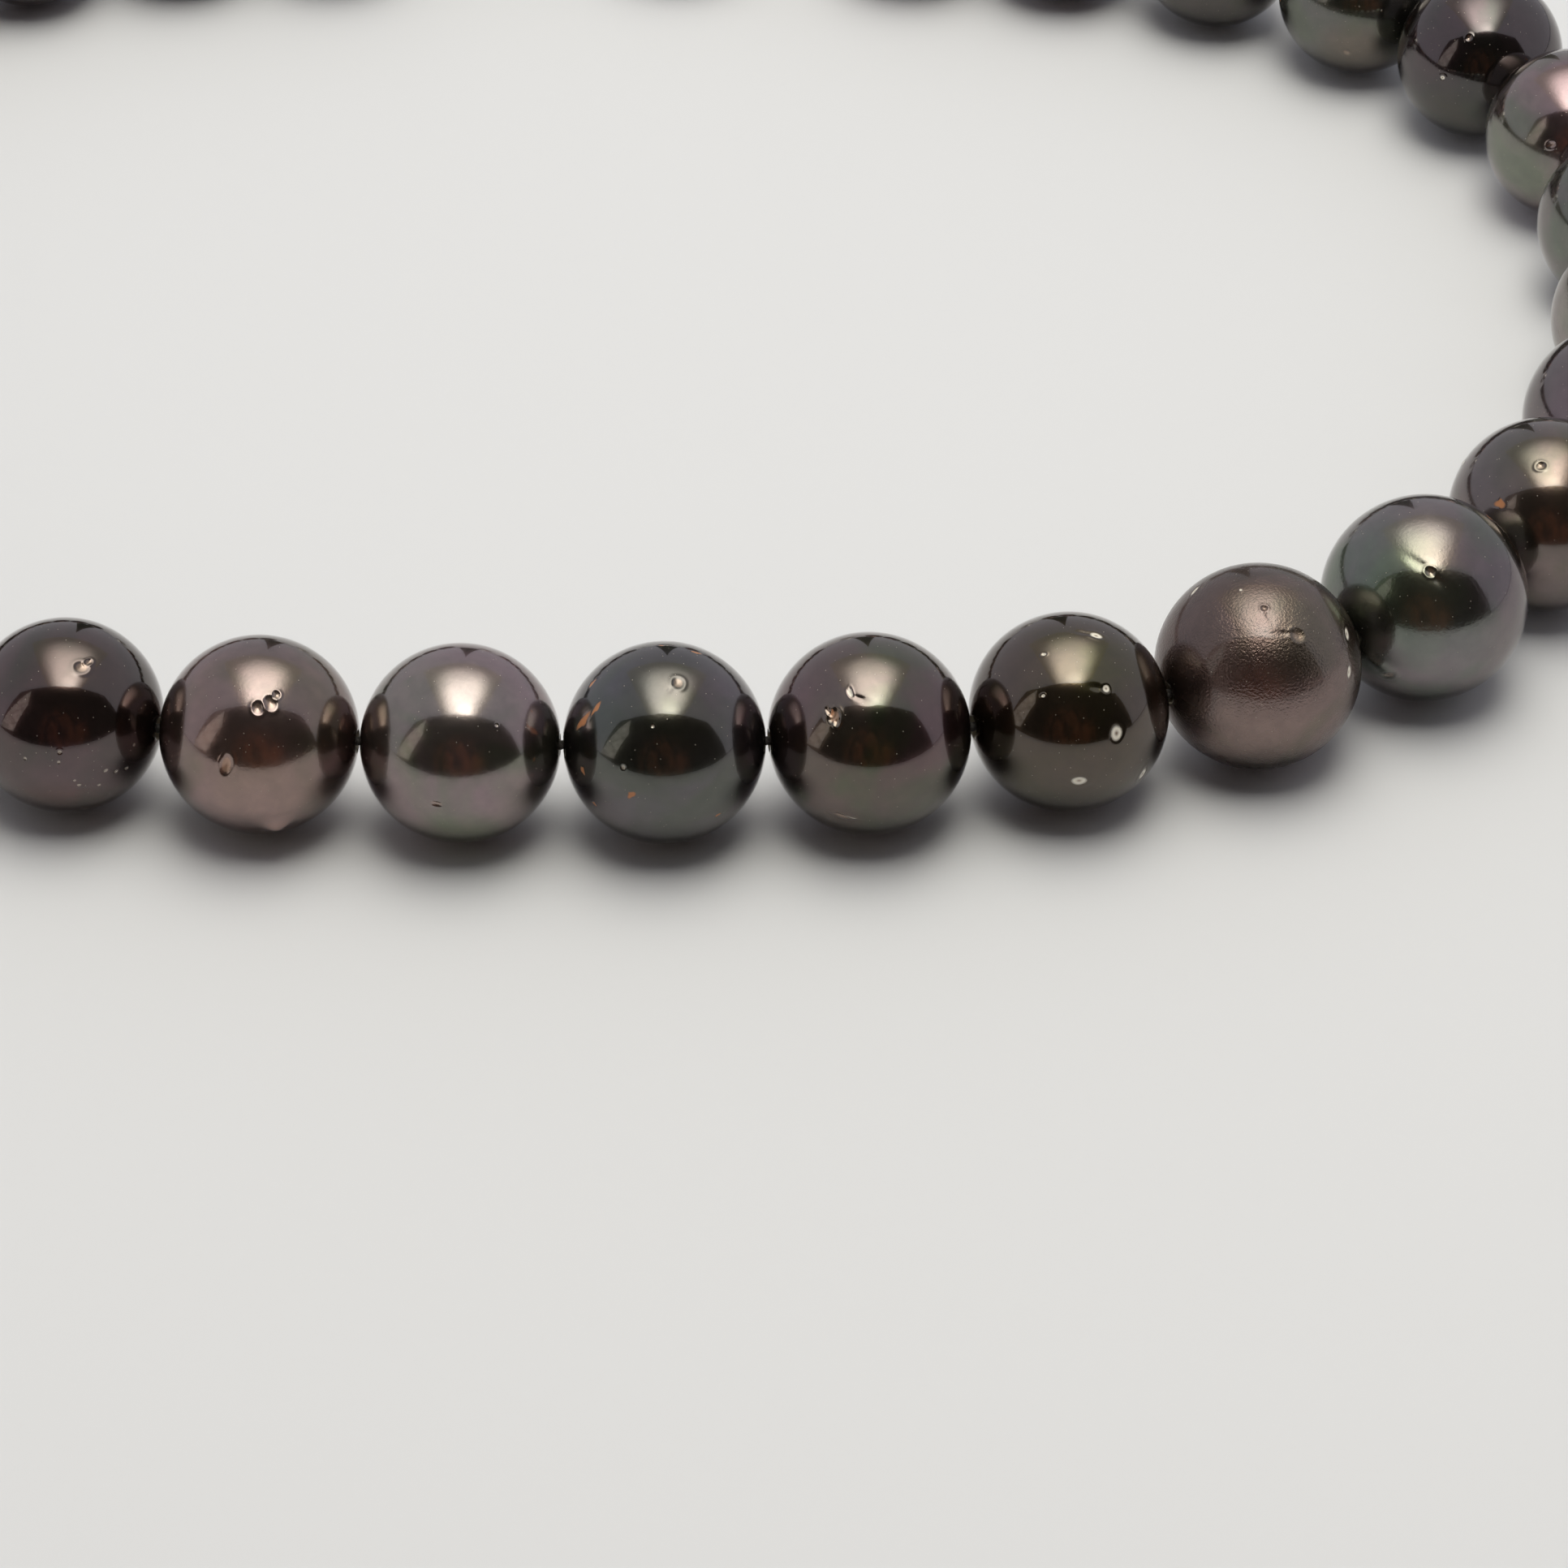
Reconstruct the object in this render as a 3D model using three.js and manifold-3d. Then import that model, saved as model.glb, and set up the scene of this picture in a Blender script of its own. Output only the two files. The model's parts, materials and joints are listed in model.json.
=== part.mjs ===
// Pearl necklace: a strand of drilled black pearls on one silk cord, with a ball clasp at the back.
// Millimetres, +Z up. The strand lies flat as an oval, its front towards -Y, and the clasp is just
// undone. Origin: on the ground, under the middle of the strand's outline.

import * as THREE from 'three';
import { mergeVertices } from 'three/addons/utils/BufferGeometryUtils.js';
import Module from 'manifold-3d';

// ---------------------------------------------------------------- driving dimensions

const OVAL_LENGTH = 410.15;    // once round the line through the pearls' centres, clasp included
const OVAL_FLATTEN = 0.47;     // how much straighter the front and back lie than the sides
const OVAL_SQUARE = 0.27;      // how much of the bend sits at the four corners
const OVAL_EGG = 0.08;         // how much blunter the front is than the back
const MIDDLE_SHIFT = -4.85;    // the middle pearl lies this far along the oval from its front point
const PEARL_GAP = 0.1;         // between neighbouring pearls, so that they can turn on the cord

const HOLE_RADIUS = 0.65;      // drill hole
const CORD_RADIUS = 0.3;
const KNOT_RADIUS = 0.8;
const KNOT_OUT = 1.15;         // centre of an end knot, from the last pearl's surface
const LINK_OUT = 3.6;          // the clasp ring's wire, from the last pearl's surface

const RING_MAJOR = 1.1;        // small fixed ring at each end of the clasp
const RING_WIRE = 0.32;
const COIL_RADIUS = 0.4;       // French wire: the fine coil that guards the cord in the ring
const COIL_BEND = 1.05;
const COIL_LEG = 1.5;
const COIL_WAIST = 0.94;       // half width of the hairpin midway along its legs
const COIL_MOUTH = 0.72;       // half width where the legs meet at the knot

const BALL_RADIUS = 5.5;
const SHELL = 0.6;
const SEAM = 0.3;              // between the two halves of the ball
const BALL_CENTRE = 8.3;       // from the ring's wire
const SLOT = { half: 2.2, low: -0.9, high: 0.9 };
const NOTCH = { half: 0.95, high: 1.75 };
const CUT_PAST = 1;            // how far a cutting block runs out past what it cuts
const CATCH = { radius: 3.1, near: 3.1, far: 3.5, half: 2.0, low: -0.85, high: 0.8 };

const BLADE = { root: 2.82, start: 3.2, end: 10.2, half: 1.7, low: -0.55, thick: 0.35 };
const FOLD_LENGTH = 0.4;
const CORNER = 0.7;            // chamfer at the far end of the blade and the leaf
const LEAF = { end: 9.5, shoulder: 6.25, low: 0.1, thick: 0.35 };
const LEAF_RISE = 9;           // degrees that the sprung leaf stands up from the blade
const NECK_HALF = 0.6;
const NECK_LAP = 0.5;          // how far the leaf's neck runs into its shoulders
const THUMB = { start: 2.85, end: 3.3, half: 1.25, high: 2.1 };

// Each pearl from the tongue's end to the ball's end: diameter and body colour.
const PEARLS = [
  [11.7, 'slate'], [11.85, 'aubergine'], [11.75, 'peacock'], [11.9, 'bronze'],
  [11.8, 'silver'], [12.0, 'olive'], [11.9, 'slate'], [12.05, 'aubergine'],
  [11.85, 'peacock'], [12.1, 'bronze'], [11.95, 'slate'], [11.85, 'olive'],
  [12.0, 'silver'], [11.95, 'aubergine'], [12.15, 'bronze'], [12.2, 'silver'],
  [12.35, 'slate'], [12.4, 'peacock'], [12.3, 'olive'], [12.8, 'bronze'],
  [13.05, 'steel'], [12.55, 'bronze'], [12.45, 'aubergine'], [12.3, 'silver'],
  [12.15, 'steel'], [12.05, 'silver'], [12.0, 'aubergine'], [12.1, 'slate'],
  [12.1, 'olive'], [11.85, 'peacock'], [11.7, 'bronze'],
];
const MIDDLE = 15;             // index of the middle pearl
const PEARL_BANDS = 10;        // facets from one mouth of the drill hole to the other
const PEARL_SIDES = 14;        // facets round the drill hole
const WIRE_SIDES = 8;          // facets round the cord, the rings and the French wire
const CORD_STEPS = 80;
const COIL_STEPS = 18;
const RING_STEPS = 16;
const MERGE_WITHIN = 1e-5;     // corners closer than this are one corner

const PEARL_COLOURS = {
  aubergine: 0x3b3033, bronze: 0x5a4843, silver: 0x6b696b, slate: 0x3f4045,
  peacock: 0x4a4746, olive: 0x36322c, steel: 0x50544f,
};

// ---------------------------------------------------------------- materials

function nacre(colour) {
  return new THREE.MeshStandardMaterial({ color: PEARL_COLOURS[colour], roughness: 0.12, metalness: 0.5 });
}

const silk = () => new THREE.MeshStandardMaterial({ color: 0x2b2826, roughness: 0.8, metalness: 0 });
const whiteGold = () => new THREE.MeshStandardMaterial({ color: 0xcfccc5, roughness: 0.15, metalness: 1 });
const springGold = () => new THREE.MeshStandardMaterial({ color: 0xc4c0b8, roughness: 0.3, metalness: 1 });

// ---------------------------------------------------------------- where the strand lies

// Direction of travel along the oval, anticlockwise, 0 at the front point and pi at the back.
function heading(s) {
  const u = (2 * Math.PI * s) / OVAL_LENGTH;
  return u - (OVAL_FLATTEN / 2) * Math.sin(2 * u) + (OVAL_EGG / 3) * Math.sin(3 * u)
    - (OVAL_SQUARE / 4) * Math.sin(4 * u);
}

// Point on the oval at arc length s, by summing short straight steps from the front point.
function ovalPoint(s) {
  const steps = 400;
  const step = s / steps;
  const point = new THREE.Vector2();
  for (let i = 0; i < steps; i += 1) {
    const a = heading((i + 0.5) * step);
    point.x += Math.cos(a) * step;
    point.y += Math.sin(a) * step;
  }
  return point;
}

// The next arc length whose point is a given straight distance from this one; way is 1 or -1.
function walk(s, distance, way) {
  const from = ovalPoint(s);
  let next = s + way * distance;
  for (let i = 0; i < 5; i += 1) next += way * (distance - ovalPoint(next).distanceTo(from));
  return next;
}

function layPearls() {
  const radii = PEARLS.map(([diameter]) => diameter / 2);
  const along = [];
  along[MIDDLE] = MIDDLE_SHIFT;
  for (let i = MIDDLE + 1; i < radii.length; i += 1) {
    along[i] = walk(along[i - 1], radii[i - 1] + radii[i] + PEARL_GAP, 1);
  }
  for (let i = MIDDLE - 1; i >= 0; i -= 1) {
    along[i] = walk(along[i + 1], radii[i + 1] + radii[i] + PEARL_GAP, -1);
  }
  return along.map((s, i) => {
    const turn = heading(s);
    const axis = new THREE.Vector3(Math.cos(turn), Math.sin(turn), 0);
    const { x, y } = ovalPoint(s);
    return { centre: new THREE.Vector3(x, y, radii[i]), radius: radii[i], turn, axis };
  });
}

// A point on a pearl's drill axis, out past its surface; way 1 is towards the ball.
function outFrom(pearl, out, way) {
  return pearl.centre.clone().addScaledVector(pearl.axis, way * (pearl.radius + out));
}

const pearls = layPearls();
const first = pearls[0];
const last = pearls[pearls.length - 1];
const axisHeight = BALL_RADIUS;    // the clasp rests on its ball

const tongueLink = outFrom(first, LINK_OUT, -1).setZ(axisHeight);
const ballLink = outFrom(last, LINK_OUT, 1).setZ(axisHeight);
const towardsTongue = tongueLink.clone().sub(ballLink);
const claspTurn = Math.atan2(towardsTongue.y, towardsTongue.x);

// ---------------------------------------------------------------- solids

const wasm = await Module();
wasm.setup();

function toSolid(geometry) {
  const bare = geometry.clone();
  bare.deleteAttribute('normal');
  bare.deleteAttribute('uv');
  const merged = mergeVertices(bare, MERGE_WITHIN);
  return new wasm.Manifold(new wasm.Mesh({
    numProp: 3,
    vertProperties: new Float32Array(merged.attributes.position.array),
    triVerts: new Uint32Array(merged.index.array),
  }));
}

function toGeometry(solid) {
  const { vertProperties, triVerts } = solid.getMesh();
  const geometry = new THREE.BufferGeometry();
  geometry.setAttribute('position', new THREE.BufferAttribute(new Float32Array(vertProperties), 3));
  geometry.setIndex(new THREE.BufferAttribute(new Uint32Array(triVerts), 1));
  geometry.computeVertexNormals();
  return geometry;
}

// A box between two corners.
function block(x0, x1, y0, y1, z0, z1) {
  const box = new THREE.BoxGeometry(x1 - x0, y1 - y0, z1 - z0);
  return box.translate((x0 + x1) / 2, (y0 + y1) / 2, (z0 + z1) / 2);
}

function roundSection(radius, sides) {
  const shape = new THREE.Shape();
  for (let i = 0; i < sides; i += 1) {
    const a = (2 * Math.PI * i) / sides;
    if (i === 0) shape.moveTo(radius, 0);
    else shape.lineTo(radius * Math.cos(a), radius * Math.sin(a));
  }
  shape.closePath();
  return shape;
}

function tube(points, radius, sides, steps) {
  const path = new THREE.CatmullRomCurve3(points, false, 'catmullrom', 0.5);
  return new THREE.ExtrudeGeometry(roundSection(radius, sides), {
    extrudePath: path, steps, bevelEnabled: false, curveSegments: 1,
  });
}

// A drilled pearl: a ball turned about its drill hole, which runs along Y.
function pearlGeometry(radius) {
  const limit = Math.acos(HOLE_RADIUS / radius);
  const profile = [];
  for (let i = 0; i <= PEARL_BANDS; i += 1) {
    const a = -limit + (2 * limit * i) / PEARL_BANDS;
    profile.push(new THREE.Vector2(radius * Math.cos(a), radius * Math.sin(a)));
  }
  profile.push(profile[0].clone());
  return new THREE.LatheGeometry(profile, PEARL_SIDES);
}

// The cord runs through every hole, bends in the gaps, and ends in a knot past each end pearl.
function cordGeometry() {
  const start = outFrom(first, KNOT_OUT, -1);
  const end = outFrom(last, KNOT_OUT, 1);
  const route = [start, outFrom(first, 0, -1)];
  pearls.forEach((pearl, i) => {
    route.push(pearl.centre);
    const next = pearls[i + 1];
    if (next) route.push(outFrom(pearl, 0, 1).add(outFrom(next, 0, -1)).multiplyScalar(0.5));
  });
  route.push(outFrom(last, 0, 1), end);
  const knot = new THREE.SphereGeometry(KNOT_RADIUS, 10, 7);
  const cord = toSolid(tube(route, CORD_RADIUS, WIRE_SIDES, CORD_STEPS));
  const knots = [start, end].map(({ x, y, z }) => toSolid(knot.clone().translate(x, y, z)));
  return toGeometry(cord.add(knots[0]).add(knots[1]));
}

// The clasp's small ring stands upright. Its wire crosses the origin, and the clasp is towards +X.
function ringGeometry() {
  const ring = new THREE.TorusGeometry(RING_MAJOR, RING_WIRE, WIRE_SIDES, RING_STEPS);
  return ring.rotateX(Math.PI / 2).translate(RING_MAJOR, 0, 0);
}

// French wire: a hairpin that lies flat, bends through the ring round its wire, and opens towards -X.
function coilGeometry() {
  const points = [
    new THREE.Vector3(-COIL_LEG, COIL_MOUTH, 0), new THREE.Vector3(-COIL_LEG / 2, COIL_WAIST, 0),
  ];
  const stops = 6;
  for (let i = 0; i <= stops; i += 1) {
    const a = Math.PI / 2 - (Math.PI * i) / stops;
    points.push(new THREE.Vector3(COIL_BEND * Math.cos(a), COIL_BEND * Math.sin(a), 0));
  }
  points.push(new THREE.Vector3(-COIL_LEG / 2, -COIL_WAIST, 0));
  points.push(new THREE.Vector3(-COIL_LEG, -COIL_MOUTH, 0));
  return tube(points, COIL_RADIUS, WIRE_SIDES, COIL_STEPS);
}

// Hollow ball about the origin, with +X towards the tongue.
function hollowBall() {
  const outer = toSolid(new THREE.SphereGeometry(BALL_RADIUS, 20, 14).rotateX(Math.PI / 2));
  const inner = toSolid(new THREE.SphereGeometry(BALL_RADIUS - SHELL, 16, 12).rotateX(Math.PI / 2));
  return outer.subtract(inner);
}

// The slot and the neck's notch above it are cut outwards from the catch plate's outer face.
function ballFrontGeometry() {
  const room = BALL_RADIUS + CUT_PAST;
  const front = hollowBall().intersect(toSolid(block(SEAM / 2, room, -room, room, -room, room)));
  const slot = toSolid(block(CATCH.far, room, -SLOT.half, SLOT.half, SLOT.low, SLOT.high));
  const notch = toSolid(block(CATCH.far, room, -NOTCH.half, NOTCH.half, 0, NOTCH.high));
  return toGeometry(front.subtract(slot).subtract(notch));
}

function ballRearGeometry() {
  const room = BALL_RADIUS + CUT_PAST;
  return toGeometry(hollowBall().intersect(toSolid(block(-room, -SEAM / 2, -room, room, -room, room))));
}

// The catch plate inside the slot: the leaf's shoulders spring up behind it.
function catchPlateGeometry() {
  const { radius, near, far, half, low, high } = CATCH;
  const disc = new THREE.CylinderGeometry(radius, radius, far - near, 20).rotateZ(Math.PI / 2);
  const plate = toSolid(disc.translate((near + far) / 2, 0, 0));
  const from = near - CUT_PAST;
  const to = far + CUT_PAST;
  const window = toSolid(block(from, to, -half, half, low, high));
  const notch = toSolid(block(from, to, -NOTCH.half, NOTCH.half, 0, NOTCH.high));
  return toGeometry(plate.subtract(window).subtract(notch));
}

// A flat strip seen from above, with chamfered corners at its far end.
function strip(start, end, half, low, thick) {
  const outline = new THREE.Shape([
    new THREE.Vector2(start, -half), new THREE.Vector2(end - CORNER, -half),
    new THREE.Vector2(end, -half + CORNER), new THREE.Vector2(end, half - CORNER),
    new THREE.Vector2(end - CORNER, half), new THREE.Vector2(start, half),
  ]);
  return new THREE.ExtrudeGeometry(outline, { depth: thick, bevelEnabled: false }).translate(0, 0, low);
}

// The tongue's lower blade, whose far end folds up and back. Local X runs from its ring to its tip.
function bladeGeometry() {
  const { root, start, end, half, low, thick } = BLADE;
  const foldHalf = half - CORNER;
  const fold = toSolid(block(end - FOLD_LENGTH, end, -foldHalf, foldHalf, low, LEAF.low + LEAF.thick));
  const neck = toSolid(block(root, start + thick, -NECK_HALF, NECK_HALF, low, low + thick));
  return toGeometry(toSolid(strip(start, end, half, low, thick)).add(fold).add(neck));
}

// The sprung upper leaf: shoulders, a narrow neck through the notch, and an upturned thumb tab.
function leafGeometry() {
  const { end, shoulder, low, thick } = LEAF;
  const leaf = toSolid(strip(shoulder, end, BLADE.half, low, thick));
  const neck = toSolid(block(THUMB.start, shoulder + NECK_LAP, -NECK_HALF, NECK_HALF, low, low + thick));
  const foot = toSolid(block(THUMB.start, THUMB.end, -THUMB.half, THUMB.half, low, low + thick));
  const tab = toSolid(block(THUMB.start, THUMB.start + thick, -THUMB.half, THUMB.half, low, THUMB.high));
  const flat = toGeometry(leaf.add(neck).add(foot).add(tab));
  // It stands up from its root at the blade's folded end.
  return flat.translate(-end, 0, 0).rotateY(THREE.MathUtils.degToRad(LEAF_RISE)).translate(end, 0, 0);
}

// ---------------------------------------------------------------- the necklace

const necklace = new THREE.Group();

function addMesh(parent, name, geometry, material) {
  const mesh = new THREE.Mesh(geometry, material);
  mesh.name = name;
  parent.add(mesh);
  return mesh;
}

// A group at a clasp ring's wire, turned so that its +X looks along a direction.
function placeAt(point, turn) {
  const group = new THREE.Group();
  group.position.copy(point);
  group.rotation.z = turn;
  necklace.add(group);
  return group;
}

pearls.forEach(({ centre, radius, turn }, i) => {
  const name = `pearl_${String(i + 1).padStart(2, '0')}`;
  const mesh = addMesh(necklace, name, pearlGeometry(radius), nacre(PEARLS[i][1]));
  mesh.position.copy(centre);
  mesh.rotation.z = turn - Math.PI / 2;
});

addMesh(necklace, 'silk_cord', cordGeometry(), silk());

addMesh(placeAt(ballLink, last.turn), 'french_wire_ball', coilGeometry(), whiteGold());
addMesh(placeAt(tongueLink, first.turn + Math.PI), 'french_wire_tongue', coilGeometry(), whiteGold());

const ballEnd = placeAt(ballLink, claspTurn);
addMesh(ballEnd, 'ball_ring', ringGeometry(), whiteGold());
const ball = new THREE.Group();
ball.position.x = BALL_CENTRE;
ballEnd.add(ball);
addMesh(ball, 'ball_front_half', ballFrontGeometry(), whiteGold());
addMesh(ball, 'ball_rear_half', ballRearGeometry(), whiteGold());
addMesh(ball, 'catch_plate', catchPlateGeometry(), springGold());

const tongue = placeAt(tongueLink, claspTurn + Math.PI);
addMesh(tongue, 'tongue_ring', ringGeometry(), whiteGold());
addMesh(tongue, 'tongue_blade', bladeGeometry(), springGold());
addMesh(tongue, 'tongue_leaf', leafGeometry(), springGold());

// Stand the necklace with the middle of its outline over the origin.
necklace.updateMatrixWorld(true);
const middle = new THREE.Box3().setFromObject(necklace, true).getCenter(new THREE.Vector3());
necklace.position.set(-middle.x, -middle.y, 0);

export default necklace;
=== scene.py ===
import bpy
import bmesh
import json
import math
import random
import numpy as np
from mathutils import Matrix, Vector, noise


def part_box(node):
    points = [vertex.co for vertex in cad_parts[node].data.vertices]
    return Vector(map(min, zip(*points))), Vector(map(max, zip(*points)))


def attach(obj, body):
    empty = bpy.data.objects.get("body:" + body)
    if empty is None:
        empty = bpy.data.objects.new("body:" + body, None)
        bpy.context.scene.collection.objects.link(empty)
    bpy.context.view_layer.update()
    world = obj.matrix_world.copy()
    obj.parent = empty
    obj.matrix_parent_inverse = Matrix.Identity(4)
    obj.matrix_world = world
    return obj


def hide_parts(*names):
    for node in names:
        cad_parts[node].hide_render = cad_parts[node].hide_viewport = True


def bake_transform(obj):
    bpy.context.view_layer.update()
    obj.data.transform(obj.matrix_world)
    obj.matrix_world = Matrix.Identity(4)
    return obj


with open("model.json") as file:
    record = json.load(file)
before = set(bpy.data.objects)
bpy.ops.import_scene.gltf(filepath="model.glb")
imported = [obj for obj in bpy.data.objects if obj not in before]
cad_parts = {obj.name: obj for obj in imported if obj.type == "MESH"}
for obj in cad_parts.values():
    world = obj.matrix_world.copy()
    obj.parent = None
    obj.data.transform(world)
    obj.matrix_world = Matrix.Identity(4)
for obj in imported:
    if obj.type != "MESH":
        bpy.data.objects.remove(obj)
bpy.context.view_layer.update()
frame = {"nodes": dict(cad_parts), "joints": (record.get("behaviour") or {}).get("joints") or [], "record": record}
RECORD = frame["record"]
MM = 0.001
UP = Vector((0, 0, 1))
COUNT = sum(name.startswith("pearl_") for name in frame["nodes"])
MIDDLE = 16                      # number of the root pearl


# ---------------------------------------------------------------- where things are

def pearl_name(number):
    return f"pearl_{number:02d}"


def middle_of(node):
    low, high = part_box(node)
    return (low + high) / 2


def half_height(node):
    low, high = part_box(node)
    return (high.z - low.z) / 2


CENTRES = {n: middle_of(pearl_name(n)) for n in range(1, COUNT + 1)}
RADII = {n: half_height(pearl_name(n)) for n in CENTRES}
PIVOTS = {joint["name"]: Vector(joint["pos_m"]) for joint in frame["joints"]}
GAPS = {n: PIVOTS[f"bend_{n:02d}_{n + 1:02d}"] for n in range(1, COUNT)}
TONGUE_LINK = PIVOTS["tongue_link"]
BALL_LINK = PIVOTS["ball_link"]


def level(direction):
    """The same heading, level and of length 1."""
    return Vector((direction.x, direction.y, 0)).normalized()


# Level direction of each pearl's drill hole, towards the ball's end.
AXES = {n: level(GAPS.get(n, BALL_LINK) - GAPS.get(n - 1, TONGUE_LINK)) for n in CENTRES}

# ---------------------------------------------------------------- camera

CAMERA_AT = Vector((14.8, -305.0, 201.9)) * MM
CAMERA_PITCH = math.radians(38.25)
CAMERA_YAW = math.radians(0.013)
CAMERA_ROLL = math.radians(0.405)
FIELD_OF_VIEW = math.radians(16.95)


def make_camera():
    data = bpy.data.cameras.new("camera")
    data.sensor_fit = "AUTO"
    data.angle = FIELD_OF_VIEW
    data.clip_start = 0.01
    data.clip_end = 10
    camera = bpy.data.objects.new("camera", data)
    bpy.context.scene.collection.objects.link(camera)
    reach = math.cos(CAMERA_PITCH)
    ahead = Vector((math.sin(CAMERA_YAW) * reach, math.cos(CAMERA_YAW) * reach, -math.sin(CAMERA_PITCH)))
    turn = ahead.to_track_quat("-Z", "Y").to_matrix() @ Matrix.Rotation(CAMERA_ROLL, 3, "Z")
    camera.matrix_world = Matrix.Translation(CAMERA_AT) @ turn.to_4x4()
    bpy.context.scene.camera = camera


make_camera()

# ---------------------------------------------------------------- material helpers


def new_material(name):
    material = bpy.data.materials.new(name)
    material.use_nodes = True
    return material, material.node_tree, material.node_tree.nodes["Principled BSDF"]


def fill(tree, node, inputs):
    """Sets inputs, by name or number, to constants, or links them to other nodes' outputs."""
    for key, value in inputs.items():
        if isinstance(value, bpy.types.NodeSocket):
            tree.links.new(value, node.inputs[key])
        else:
            node.inputs[key].default_value = value
    return node


def add(tree, kind, inputs, **settings):
    node = tree.nodes.new(kind)
    for key, value in settings.items():
        setattr(node, key, value)
    return fill(tree, node, inputs)


def own_place(tree):
    """Where a point is in its piece's own frame."""
    return add(tree, "ShaderNodeTexCoord", {}).outputs["Object"]


def scaled(tree, place, scale, start=(0, 0, 0)):
    return add(tree, "ShaderNodeMapping", {"Vector": place, "Scale": scale,
                                           "Location": start}).outputs["Vector"]


def cloudy(tree, place, scale, detail, distortion=0.0, roughness=0.5):
    return add(tree, "ShaderNodeTexNoise", {"Vector": place, "Scale": scale, "Detail": detail,
                                            "Distortion": distortion, "Roughness": roughness}).outputs["Fac"]


def spread(tree, value, start, end, low=0.0, high=1.0, **settings):
    """Goes from low to high as the value goes from start to end."""
    return add(tree, "ShaderNodeMapRange", {"Value": value, "From Min": start, "From Max": end, "To Min": low,
                                            "To Max": high}, **settings).outputs["Result"]


def eased(*arguments):
    return spread(*arguments, interpolation_type="SMOOTHSTEP")


def maths(tree, operation, *values):
    return add(tree, "ShaderNodeMath", dict(enumerate(values)), operation=operation).outputs["Value"]


def distance(tree, place, point):
    return add(tree, "ShaderNodeVectorMath", {0: place, 1: point}, operation="DISTANCE").outputs["Value"]


def mixed(tree, factor, low, high, blend_type="MIX"):
    return add(tree, "ShaderNodeMix", {0: factor, 6: low, 7: high}, data_type="RGBA",
               blend_type=blend_type).outputs[2]


def ramp(tree, factor, *stops):
    """A colour between two stops, each with its place and its colour."""
    node = add(tree, "ShaderNodeValToRGB", {"Fac": factor})
    for element, (place, colour) in zip(node.color_ramp.elements, stops):
        element.position = place
        element.color = (*colour, 1)
    return node.outputs["Color"]


def bumped(tree, height, strength, depth):
    return add(tree, "ShaderNodeBump", {"Height": height, "Strength": strength,
                                        "Distance": depth}).outputs["Normal"]


# ---------------------------------------------------------------- mesh helpers


def mesh_object(name, vertices, faces, smooth=True):
    mesh = bpy.data.meshes.new(name)
    mesh.from_pydata(vertices, [], faces)
    mesh.validate()
    mesh.update()
    if smooth:
        mesh.shade_smooth()
    item = bpy.data.objects.new(name, mesh)
    bpy.context.scene.collection.objects.link(item)
    return item


def circle(steps):
    """Cosine and sine of each step round a circle."""
    angles = [2 * math.pi * k / steps for k in range(steps)]
    return [(math.cos(a), math.sin(a)) for a in angles]


def loft(rows, sides, closed=False, capped=True):
    """Faces between rings of corners. Each end gets a cap, unless the last ring joins the first."""
    faces = []
    for k in range(rows if closed else rows - 1):
        here, there = k * sides, (k + 1) % rows * sides
        for j in range(sides):
            i = (j + 1) % sides
            faces.append((here + j, here + i, there + i, there + j))
    if capped and not closed:
        faces.append(tuple(reversed(range(sides))))
        faces.append(tuple((rows - 1) * sides + j for j in range(sides)))
    return faces


# ---------------------------------------------------------------- studio

FLOOR_SIZE = 3.0
FLOOR_COLOUR = (0.712, 0.726, 0.757, 1)
WORLD_COLOUR = (0.98, 0.975, 1.045, 1)
WORLD_GREY = 0.60
bpy.context.scene.view_settings.view_transform = "Standard"


def make_world():
    world = bpy.data.worlds.new("studio")
    bpy.context.scene.world = world
    world.use_nodes = True
    tree = world.node_tree
    fill(tree, tree.nodes["Background"], {"Color": WORLD_COLOUR, "Strength": WORLD_GREY})


def make_floor():
    half = FLOOR_SIZE / 2
    floor = mesh_object("floor", [(-half, -half, 0), (half, -half, 0), (half, half, 0), (-half, half, 0)],
                        [(0, 1, 2, 3)], smooth=False)
    material, tree, shader = new_material("floor_paper")
    fill(tree, shader, {"Base Color": FLOOR_COLOUR, "Roughness": 0.65, "Specular IOR Level": 0.3})
    floor.data.materials.append(material)


STUDIO_MIDDLE = Vector((CENTRES[MIDDLE + 1].x, CENTRES[MIDDLE + 1].y, 0))    # below the front row


def studio_piece(name, vertices, faces, material, smooth=False):
    """A lamp or screen that the pearls mirror and the camera doesn't see."""
    piece = mesh_object(name, vertices, faces, smooth)
    piece.location = STUDIO_MIDDLE
    piece.data.materials.append(material)
    piece.visible_camera = False
    return piece


# Overhead lamp panel, wider at the back. All but its height are shares of that height.
LAMP_HEIGHT = 0.60
LAMP = {"front": -0.35, "back": 1.25, "middle": 0.05, "front_half": 0.36, "back_half": 0.90, "hot_side": 0.12}
LAMP_GLOWS = [(-0.12, 1.25, 4.8), (-0.29, 0.26, 3.05)]    # wide, then narrow: how far back, reach, strength
LAMP_IDLE = 0.57                 # strength at its edges
LAMP_COLOUR = (1.0, 0.968, 0.87, 1)


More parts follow.
